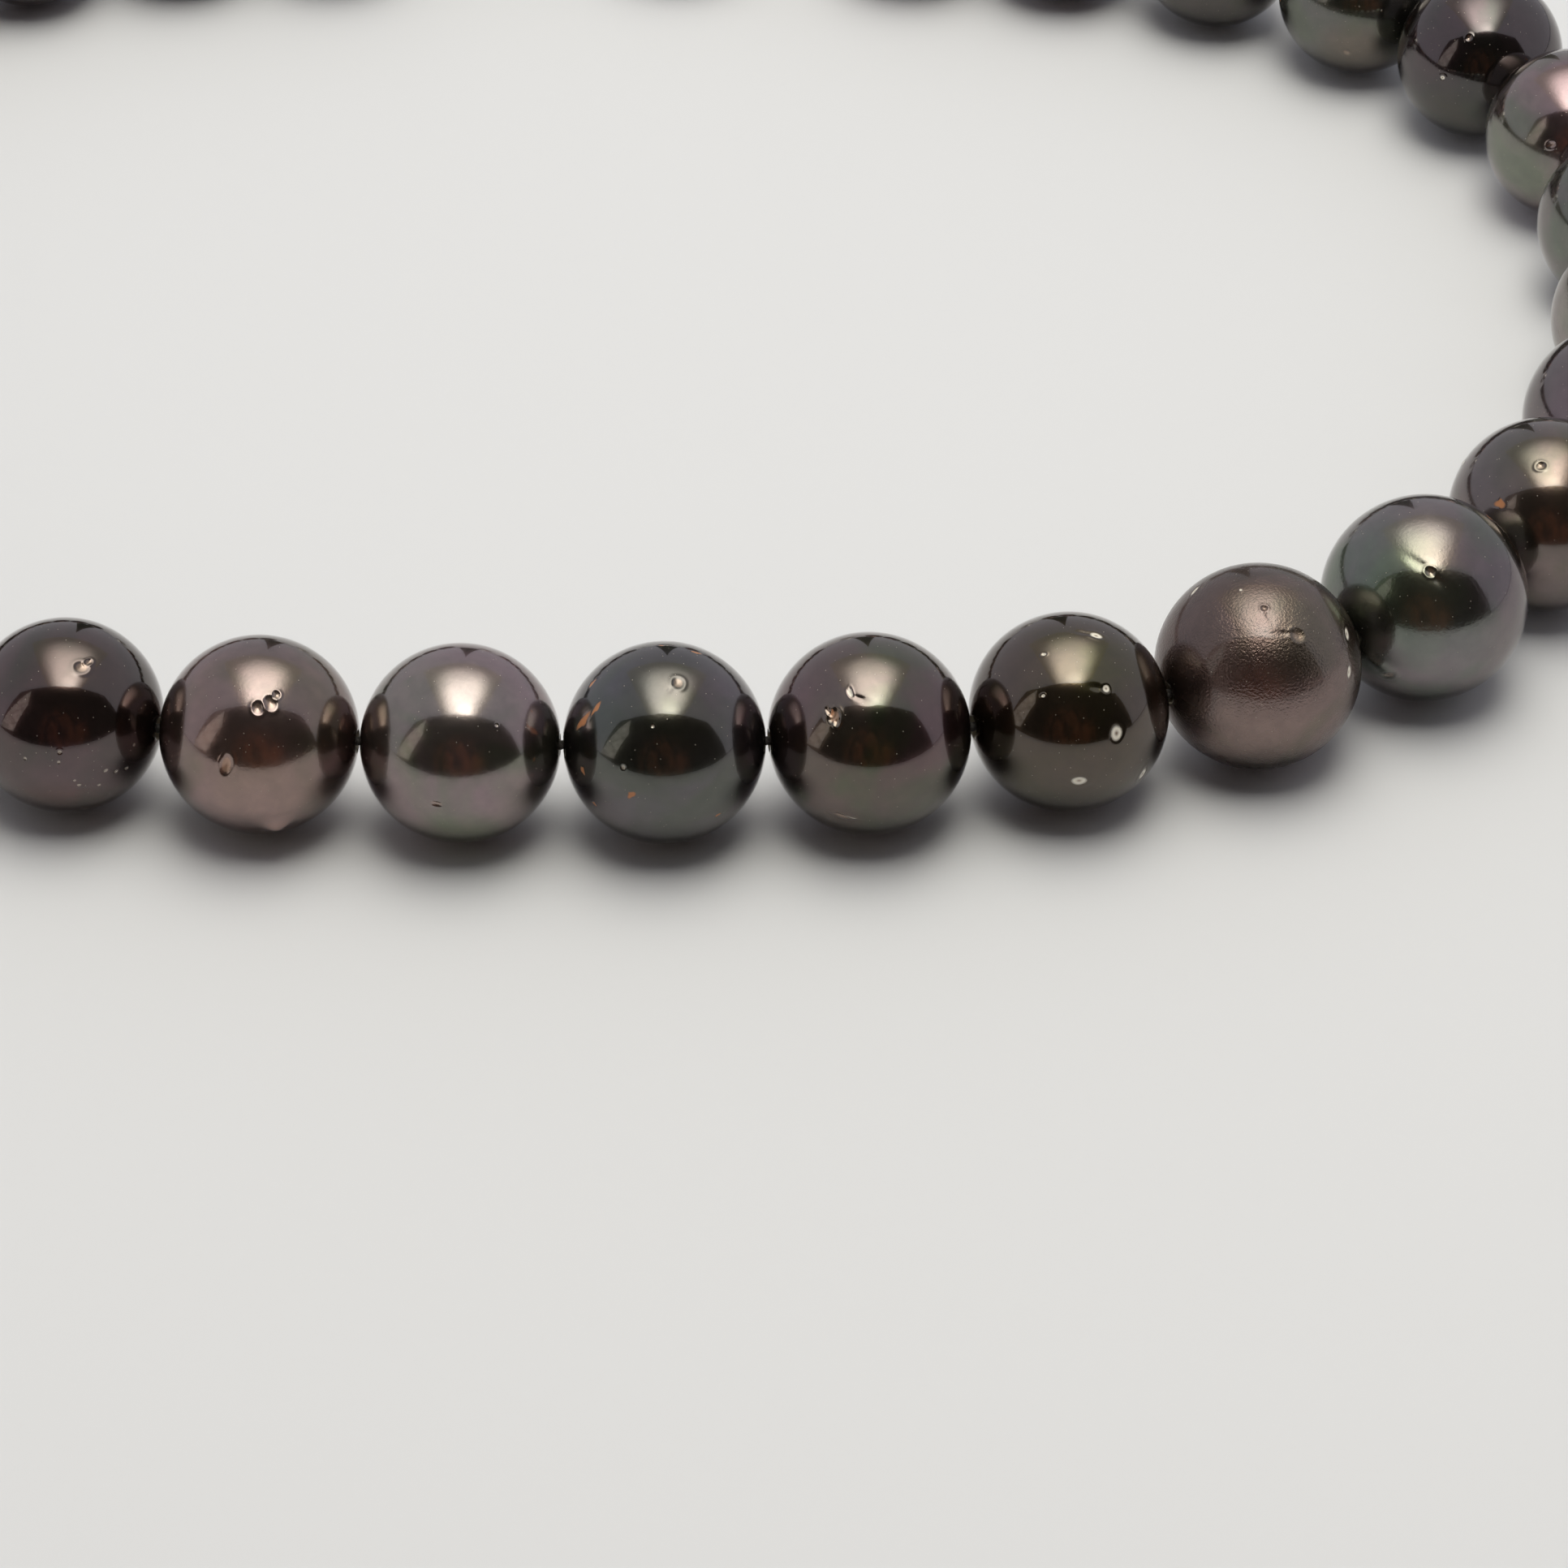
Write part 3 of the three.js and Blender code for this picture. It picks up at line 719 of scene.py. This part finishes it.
def make_pearl(number):
    chance = random.Random(SEED + number)
    mesh = pearl_mesh(number, chance)
    pearl = bpy.data.objects.new(mesh.name, mesh)
    bpy.context.scene.collection.objects.link(pearl)
    pearl.matrix_world = Matrix.Translation(CENTRES[number]) @ pearl_turn(number).to_4x4()
    mesh.materials.append(nacre(number, chance))
    node = pearl_name(number)
    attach(pearl, node)
    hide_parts(node)


for number in CENTRES:
    make_pearl(number)

# ---------------------------------------------------------------- silk and metal

SILK_DYES = ((0.35, (0.016, 0.014, 0.013)), (0.70, (0.050, 0.044, 0.039)))


def silk_material():
    """Fine filaments, slightly fuzzy and uneven in their dye."""
    material, tree, shader = new_material("silk_thread")
    place = own_place(tree)
    fill(tree, shader, {
        "Base Color": ramp(tree, cloudy(tree, place, 900.0, 3.0), *SILK_DYES),
        "Roughness": 0.72,
        "Sheen Weight": 0.35,
        "Sheen Roughness": 0.4,
        "Normal": bumped(tree, cloudy(tree, place, 14000.0, 2.0, 1.0), 0.6, 0.02 * MM),
    })
    return material


def gold_material(name, colour, rough, grain, stretch):
    """Metal with hairline wear. The hairs run along the axis that has the smallest stretch."""
    material, tree, shader = new_material(name)
    place = own_place(tree)
    hairs = cloudy(tree, scaled(tree, place, stretch), grain, 4.0, 0.0, 0.7)
    tints = ((0.0, [c * 0.93 for c in colour]), (1.0, colour))
    fill(tree, shader, {
        "Base Color": ramp(tree, cloudy(tree, place, 420.0, 3.0), *tints),
        "Metallic": 1.0,
        "Roughness": spread(tree, hairs, 0.3, 0.7, rough * 0.7, rough * 1.5),
        "Normal": bumped(tree, hairs, 0.12, 0.01 * MM),
    })
    return material


SHARP = math.radians(42)         # edges bent further than this stay sharp
CUT_SHARP = math.radians(35)     # the same for the half of the ball that is cut
# Each finish is a material and its slot.
SILK = (silk_material(), "silk")
POLISHED = (gold_material("white_gold_polished", (0.83, 0.815, 0.785), 0.13, 2600.0, (1, 1, 1)), "white_gold")
BRUSHED = (gold_material("white_gold_brushed", (0.76, 0.745, 0.715), 0.26, 3800.0, (0.06, 1, 1)),
           "spring_gold")


def smooth_path(points, steps):
    """A Catmull-Rom curve through points, with that many steps between each two."""
    ends = [points[0] * 2 - points[1]] + list(points) + [points[-1] * 2 - points[-2]]
    path = []
    for k in range(1, len(ends) - 2):
        a, b, c, d = ends[k - 1:k + 3]
        for step in range(steps):
            t = step / steps
            path.append(((b * 2) + (c - a) * t + (a * 2 - b * 5 + c * 4 - d) * t * t
                         + (b * 3 - a - c * 3 + d) * t ** 3) / 2)
    path.append(points[-1].copy())
    return path


def frames_along(path, closed=False):
    """Two directions across the path at each point, which don't twist about it."""
    found = []
    side = None
    last = len(path) - 1
    for k in range(len(path)):
        if closed:
            ahead = (path[(k + 1) % len(path)] - path[k - 1]).normalized()
        else:
            ahead = (path[min(k + 1, last)] - path[max(k - 1, 0)]).normalized()
        if side is None:
            side = ahead.orthogonal() if closed else ahead.cross(UP)
        side = (side - ahead * side.dot(ahead)).normalized()
        found.append((side, ahead.cross(side)))
    return found


def tube(path, radius, sides, closed=False):
    """Vertices and faces of a round tube, capped unless its path is a closed ring."""
    vertices = [point + first * (radius * c) + second * (radius * s)
                for point, (first, second) in zip(path, frames_along(path, closed)) for c, s in circle(sides)]
    return vertices, loft(len(path), sides, closed)


def wound(path, radius, turns):
    """A line that winds round a path at that radius. Each point has its number of turns so far."""
    line = []
    for point, (first, second), turned in zip(path, frames_along(path), turns):
        a = 2 * math.pi * turned
        line.append(point + first * (radius * math.cos(a)) + second * (radius * math.sin(a)))
    return line


def join_parts(parts):
    vertices, faces = [], []
    for more, shapes in parts:
        start = len(vertices)
        vertices += more
        faces += [tuple(k + start for k in shape) for shape in shapes]
    return vertices, faces


def finished(name, parts, finish, node=None, body=None):
    """A piece from mesh parts, with its finish, and with the CAD node and the body it is given, if any."""
    material, slot = finish
    piece = mesh_object(name, *join_parts(parts))
    bm = bmesh.new()
    bm.from_mesh(piece.data)
    bmesh.ops.recalc_face_normals(bm, faces=bm.faces)
    bm.to_mesh(piece.data)
    bm.free()
    piece.data.shade_smooth()
    piece.data.set_sharp_from_angle(angle=SHARP)
    piece.data.materials.append(material)
    if body:
        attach(piece, body)
    if node:
        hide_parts(node)
    return piece


# ---------------------------------------------------------------- cord

PLY_OFF = 0.128 * MM             # middle of a ply from the middle of the cord
PLY = 0.158 * MM                 # radius of a ply
TWIST = 1.55 * MM                # length of one turn of the plies
STRAIGHT_FROM = 0.6 * MM         # inside this depth the cord follows the hole


def plies(path):
    """Three plies twisted round a path, with whole turns from end to end."""
    done = [0.0]
    for a, b in zip(path, path[1:]):
        done.append(done[-1] + (b - a).length)
    turns = max(1, round(done[-1] / TWIST))
    return [tube(wound(path, PLY_OFF, [turns * d / done[-1] + ply / 3 for d in done]), PLY, 8)
            for ply in range(3)]


def mouth(number, way):
    """Middle of a drill hole's mouth."""
    return CENTRES[number] + AXES[number] * (RADII[number] * way)


def make_cord():
    """One piece per gap, from the middle of the pearl nearer the root through the gap to the middle of the one
    further out.
    """
    for n, gap in GAPS.items():
        route = [CENTRES[n], mouth(n, 1) - AXES[n] * STRAIGHT_FROM, gap,
                 mouth(n + 1, -1) + AXES[n + 1] * STRAIGHT_FROM, CENTRES[n + 1]]
        cord = finished(f"cord_{n:02d}_{n + 1:02d}", plies(smooth_path(route, 18)), SILK, "silk_cord")
        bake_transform(cord)


KNOT_OUT = 1.15 * MM             # middle of a knot from the mouth of the hole
KNOT_SCALE = 0.175 * MM
KNOT_CORD = 0.25 * MM
STRAND = 0.17 * MM               # radius of each strand from the knot to the French wire
STRAND_BEND = (0.5 * MM, 0.42 * MM)              # out from the knot's middle, to each side
STRAND_END = (1.2 * MM, 0.80 * MM)               # before the clasp's link, to each side


def make_knot(name, number, way, link):
    """The cord out of an end pearl, its knot, and the two strands that enter the French wire."""
    out = AXES[number] * way
    start = mouth(number, way)
    knot = start + out * KNOT_OUT
    across = UP.cross(out)
    parts = plies(smooth_path([CENTRES[number], start, knot], 24))
    loop = []
    for k in range(72):
        t = 2 * math.pi * k / 72
        loop.append(knot + out * (KNOT_SCALE * (math.sin(t) + 2 * math.sin(2 * t)) * 0.82)
                    + across * (KNOT_SCALE * (math.cos(t) - 2 * math.cos(2 * t)))
                    - UP * (KNOT_SCALE * 1.5 * math.sin(3 * t)))
    parts.append(tube(loop, KNOT_CORD, 10, closed=True))
    for side in (-1, 1):
        bend = knot + out * STRAND_BEND[0] + across * (STRAND_BEND[1] * side)
        end = link - out * STRAND_END[0] + across * (STRAND_END[1] * side)
        parts.append(tube(smooth_path([knot, bend, end], 8), STRAND, 8))
    finished(name, parts, SILK, "silk_cord", pearl_name(number))


make_cord()
make_knot("cord_knot_tongue", 1, -1, TONGUE_LINK)
make_knot("cord_knot_ball", COUNT, 1, BALL_LINK)

# ---------------------------------------------------------------- French wire and clasp, in millimetres


def local_frame(origin, ahead):
    """Places (along, across, up) in millimetres at a point, with along in a level direction."""
    across = UP.cross(ahead)
    return lambda x, y, z: origin + (ahead * x + across * y + UP * z) * MM


HAIRPIN = [(-1.5, 0.72), (-0.75, 0.94)]          # (along, across) of one leg of the French wire
HAIRPIN_BEND = 1.05
COIL_TURNS, COIL, COIL_WIRE = 44, 0.325, 0.072


def make_french_wire(node, body, origin, ahead):
    """A fine coil along a hairpin that goes round the clasp ring's wire."""
    at = local_frame(origin, ahead)
    bend = [(HAIRPIN_BEND * math.cos(a), HAIRPIN_BEND * math.sin(a))
            for a in (math.pi / 2 - math.pi * k / 6 for k in range(7))]
    places = HAIRPIN + bend + [(x, -y) for x, y in reversed(HAIRPIN)]
    path = smooth_path([at(x, y, 0) for x, y in places], 60)
    turns = [COIL_TURNS * k / (len(path) - 1) for k in range(len(path))]
    finished(node + "_coil", [tube(wound(path, COIL * MM, turns), COIL_WIRE * MM, 6)], POLISHED, node, body)


RING, RING_WIRE = 1.1, 0.32
# Rows of the solder that holds each ring: along, up, half width, half height.
BALL_SOLDER = [(2.18, 0, 0.30, 0.26), (2.36, 0, 0.34, 0.29), (2.52, 0, 0.42, 0.36), (2.66, 0, 0.56, 0.48),
               (2.80, 0, 0.80, 0.68), (2.92, 0, 0.86, 0.73)]
TONGUE_SOLDER = [(2.10, -0.10, 0.24, 0.22), (2.34, -0.14, 0.31, 0.28), (2.55, -0.24, 0.36, 0.27),
                 (2.80, -0.33, 0.46, 0.23), (3.10, -0.36, 0.54, 0.20), (3.40, -0.375, 0.56, 0.10)]


def make_ring(at, solder):
    """The small fixed ring and the fillet of solder that holds it."""
    loop = [at(RING - RING * c, 0, RING * s) for c, s in circle(64)]
    vertices = [at(x, wide * c, up + tall * s) for x, up, wide, tall in solder for c, s in circle(32)]
    return [tube(loop, RING_WIRE * MM, 20, closed=True), (vertices, loft(len(solder), 32))]


def lathe(at, profile, sides=96):
    """A closed profile of (along, out) turned about the along axis; out 0 is a point on it."""
    vertices, rows = [], []
    for x, r in profile:
        if r < 1e-6:
            rows.append([len(vertices)] * sides)
            vertices.append(at(x, 0, 0))
        else:
            rows.append([len(vertices) + j for j in range(sides)])
            vertices += [at(x, r * c, r * s) for c, s in circle(sides)]
    faces = []
    for a, b in zip(rows, rows[1:] + rows[:1]):
        for j in range(sides):
            i = (j + 1) % sides
            corners = [a[j], a[i], b[i], b[j]]
            corners = [c for n, c in enumerate(corners) if c != corners[n - 1]]
            if len(corners) > 2:
                faces.append(tuple(corners))
    return vertices, faces


BALL, BALL_WALL, SEAM, BALL_MIDDLE = 5.5, 0.6, 0.3, 8.3
RIM_SOFT = 0.09
HALF_STEPS = 40
# The slot at the front of the ball: its wide and its narrow box, each (low, high) as (across, up).
SLOT_FROM = BALL_MIDDLE + 3.5
SLOT_TO = BALL_MIDDLE + BALL + 1
SLOT_BOXES = [((-2.2, -0.9), (2.2, 0.9)), ((-0.95, 0.0), (0.95, 1.75))]
BAND = [(-0.15, 5.06), (-0.15, 5.36), (-0.07, 5.42), (0.07, 5.42), (0.15, 5.36), (0.15, 5.06)]


def quarter(radius, start, end):
    """(along, out) of an arc about the ball's middle, between two angles from the out direction."""
    angles = [start + (end - start) * k / HALF_STEPS for k in range(HALF_STEPS + 1)]
    return [(radius * math.sin(a), radius * math.cos(a)) for a in angles]


def half_profile(way):
    """One half of the hollow ball in section, rounded at its rim."""
    edge = SEAM / 2
    bore = BALL - BALL_WALL
    outer = quarter(BALL, math.asin((edge + RIM_SOFT) / BALL), math.pi / 2)
    outer[-1] = (BALL, 0.0)
    inner = quarter(bore, math.pi / 2, math.asin(edge / bore))
    inner[0] = (bore, 0.0)
    rim = [(edge, BALL - RIM_SOFT * 1.1)]
    return [(BALL_MIDDLE + way * x, r) for x, r in outer + inner + rim]


def cut_box(piece, at, low, high):
    """Cuts a box between two local corners out of a piece."""
    corners = [at(x, y, z) for x in (low[0], high[0]) for y in (low[1], high[1]) for z in (low[2], high[2])]
    cutter = mesh_object("cutter", corners, [(0, 1, 3, 2), (4, 6, 7, 5), (0, 4, 5, 1), (2, 3, 7, 6),
                                             (0, 2, 6, 4), (1, 5, 7, 3)], smooth=False)
    cut = piece.modifiers.new("cut", "BOOLEAN")
    cut.object = cutter
    cut.operation = "DIFFERENCE"
    cut.solver = "EXACT"
    made = bpy.data.meshes.new_from_object(piece.evaluated_get(bpy.context.evaluated_depsgraph_get()))
    piece.modifiers.clear()
    piece.data = made
    bpy.data.objects.remove(cutter)


# ---------------------------------------------------------------- the sprung tongue

SHEET = 0.35                     # thickness of the tongue's metal
SHEET_SOFT = 0.10                # rounding of its edges
CORNER_STEPS = 4
BLADE_UP, LEAF_UP = -0.375, 0.275                # middles of the blade's sheet and of the leaf's
BLADE_START = 2.82               # this and the next four are places along the tongue
FOLD_AT, FOLD_END = 9.75, 9.45   # the blade folds back here, and its upper layer ends there
LEAF_ROOT = 9.5
TAB_AT = 3.3                     # the leaf bends up to its thumb tab here
TAB_BEND = 0.275                 # radius of that bend
TAB_TOP = 2.1
LEAF_RISE = math.radians(9)
# Half widths along each strip: distance along it, half width.
LEAF_WIDTHS = [(0, 0.95), (0.35, 1.45), (0.7, 1.7), (2.85, 1.7), (3.15, 1.6), (3.42, 0.66), (3.6, 0.6),
               (5.7, 0.6), (6.15, 1.0), (6.6, 1.25), (7.55, 1.25), (8.0, 1.02), (8.18, 0.62)]
BLADE_WIDTHS = [(0, 0.56), (0.40, 0.6), (0.62, 1.5), (0.9, 1.7), (6.0, 1.7), (6.6, 1.42), (7.0, 1.05),
                (8.25, 1.0)]


def arc(x, z, radius, start, end, steps=14):
    """Points of an arc in the along-up plane after its start, angles in degrees."""
    angles = [math.radians(start + (end - start) * k / steps) for k in range(1, steps + 1)]
    return [(x + radius * math.cos(a), z + radius * math.sin(a)) for a in angles]


def evenly(points, step):
    """The same line with points about every step, and each point's distance along it."""
    found = [(points[0], 0.0)]
    done = 0.0
    for (x0, z0), (x1, z1) in zip(points, points[1:]):
        length = math.hypot(x1 - x0, z1 - z0)
        count = max(1, round(length / step))
        for k in range(1, count + 1):
            t = k / count
            found.append(((x0 + (x1 - x0) * t, z0 + (z1 - z0) * t), done + length * t))
        done += length
    return found


def width_at(widths, along):
    for (s0, w0), (s1, w1) in zip(widths, widths[1:]):
        if along <= s1:
            t = (along - s0) / (s1 - s0)
            return w0 + (w1 - w0) * t * t * (3 - 2 * t)
    return widths[-1][1]


def as_drawn(x, z):
    return x, z


def risen(x, z):
    """Turned up about the leaf's root."""
    x -= LEAF_ROOT
    return (LEAF_ROOT + x * math.cos(LEAF_RISE) + z * math.sin(LEAF_RISE),
            z * math.cos(LEAF_RISE) - x * math.sin(LEAF_RISE))


def sheet_strip(at, points, widths, place):
    """A strip of sheet metal along a line in the along-up plane, with rounded edges and softer ends."""
    line = evenly(points, 0.07)
    vertices = []
    for k, ((x, z), along) in enumerate(line):
        (xa, za), _ = line[max(k - 1, 0)]
        (xb, zb), _ = line[min(k + 1, len(line) - 1)]
        length = math.hypot(xb - xa, zb - za)
        half = width_at(widths, along)
        ease = min(1.0, 0.55 + 0.45 * min(along, line[-1][1] - along) / 0.14)
        for corner, (sx, sy) in enumerate(((1, 1), (-1, 1), (-1, -1), (1, -1))):
            for j in range(CORNER_STEPS + 1):
                a = math.pi / 2 * (corner + j / CORNER_STEPS)
                y = sx * (half - SHEET_SOFT) + SHEET_SOFT * math.cos(a)
                rise = (sy * (SHEET / 2 - SHEET_SOFT) + SHEET_SOFT * math.sin(a)) * ease
                px, pz = place(x - (zb - za) / length * rise, z + (xb - xa) / length * rise)
                vertices.append(at(px, y, pz))
    return vertices, loft(len(line), 4 * (CORNER_STEPS + 1))


def make_tongue(at):
    """The blade folds back on itself at its tip, and the leaf rises from the fold to its thumb tab."""
    fold = (LEAF_UP - BLADE_UP) / 2
    blade = [(BLADE_START, BLADE_UP), (FOLD_AT, BLADE_UP), *arc(FOLD_AT, BLADE_UP + fold, fold, -90, 90),
             (FOLD_END, LEAF_UP)]
    leaf = [(LEAF_ROOT, LEAF_UP), (TAB_AT, LEAF_UP), *arc(TAB_AT, LEAF_UP + TAB_BEND, TAB_BEND, 270, 180),
            (TAB_AT - TAB_BEND, TAB_TOP)]
    finished("tongue_spring_blade", [sheet_strip(at, blade, BLADE_WIDTHS, as_drawn)], BRUSHED, "tongue_blade",
             "clasp_tongue")
    finished("tongue_spring_leaf", [sheet_strip(at, leaf, LEAF_WIDTHS, risen)], BRUSHED, "tongue_leaf",
             "clasp_leaf")


def make_ball(at):
    """The two halves, the slot in the front one, and the band over their seam."""
    finished("ball_rear_shell", [lathe(at, half_profile(-1))], POLISHED, "ball_rear_half", "clasp_ball")
    front = finished("ball_front_shell", [lathe(at, half_profile(1))], POLISHED)
    bpy.context.view_layer.update()
    for low, high in SLOT_BOXES:
        cut_box(front, at, (SLOT_FROM, *low), (SLOT_TO, *high))
    front.data.shade_smooth()
    front.data.set_sharp_from_angle(angle=CUT_SHARP)
    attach(front, "clasp_ball")
    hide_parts("ball_front_half")
    band = [(BALL_MIDDLE + x, r) for x, r in BAND]
    finished("ball_seam_band", [lathe(at, band)], POLISHED, None, "clasp_ball")


def finish_plate():
    """The CAD model's own catch plate, with soft edges and the brushed metal."""
    plate = frame["nodes"]["catch_plate"]
    plate.data.materials.clear()
    plate.data.materials.append(BRUSHED[0])
    weld = plate.modifiers.new("weld", "WELD")
    weld.merge_threshold = 0.001 * MM
    soften = plate.modifiers.new("soften", "BEVEL")
    soften.width = 0.05 * MM
    soften.segments = 3
    soften.limit_method = "ANGLE"
    soften.angle_limit = math.radians(30)


def make_clasp():
    ahead = level(TONGUE_LINK - BALL_LINK)
    ball_at = local_frame(BALL_LINK, ahead)
    tongue_at = local_frame(TONGUE_LINK, -ahead)
    finished("ball_loop", make_ring(ball_at, BALL_SOLDER), POLISHED, "ball_ring", "clasp_ball")
    finished("tongue_loop", make_ring(tongue_at, TONGUE_SOLDER), POLISHED, "tongue_ring", "clasp_tongue")
    make_tongue(tongue_at)
    make_ball(ball_at)
    finish_plate()


make_french_wire("french_wire_ball", pearl_name(COUNT), BALL_LINK, AXES[COUNT])
make_french_wire("french_wire_tongue", pearl_name(1), TONGUE_LINK, -AXES[1])
make_clasp()
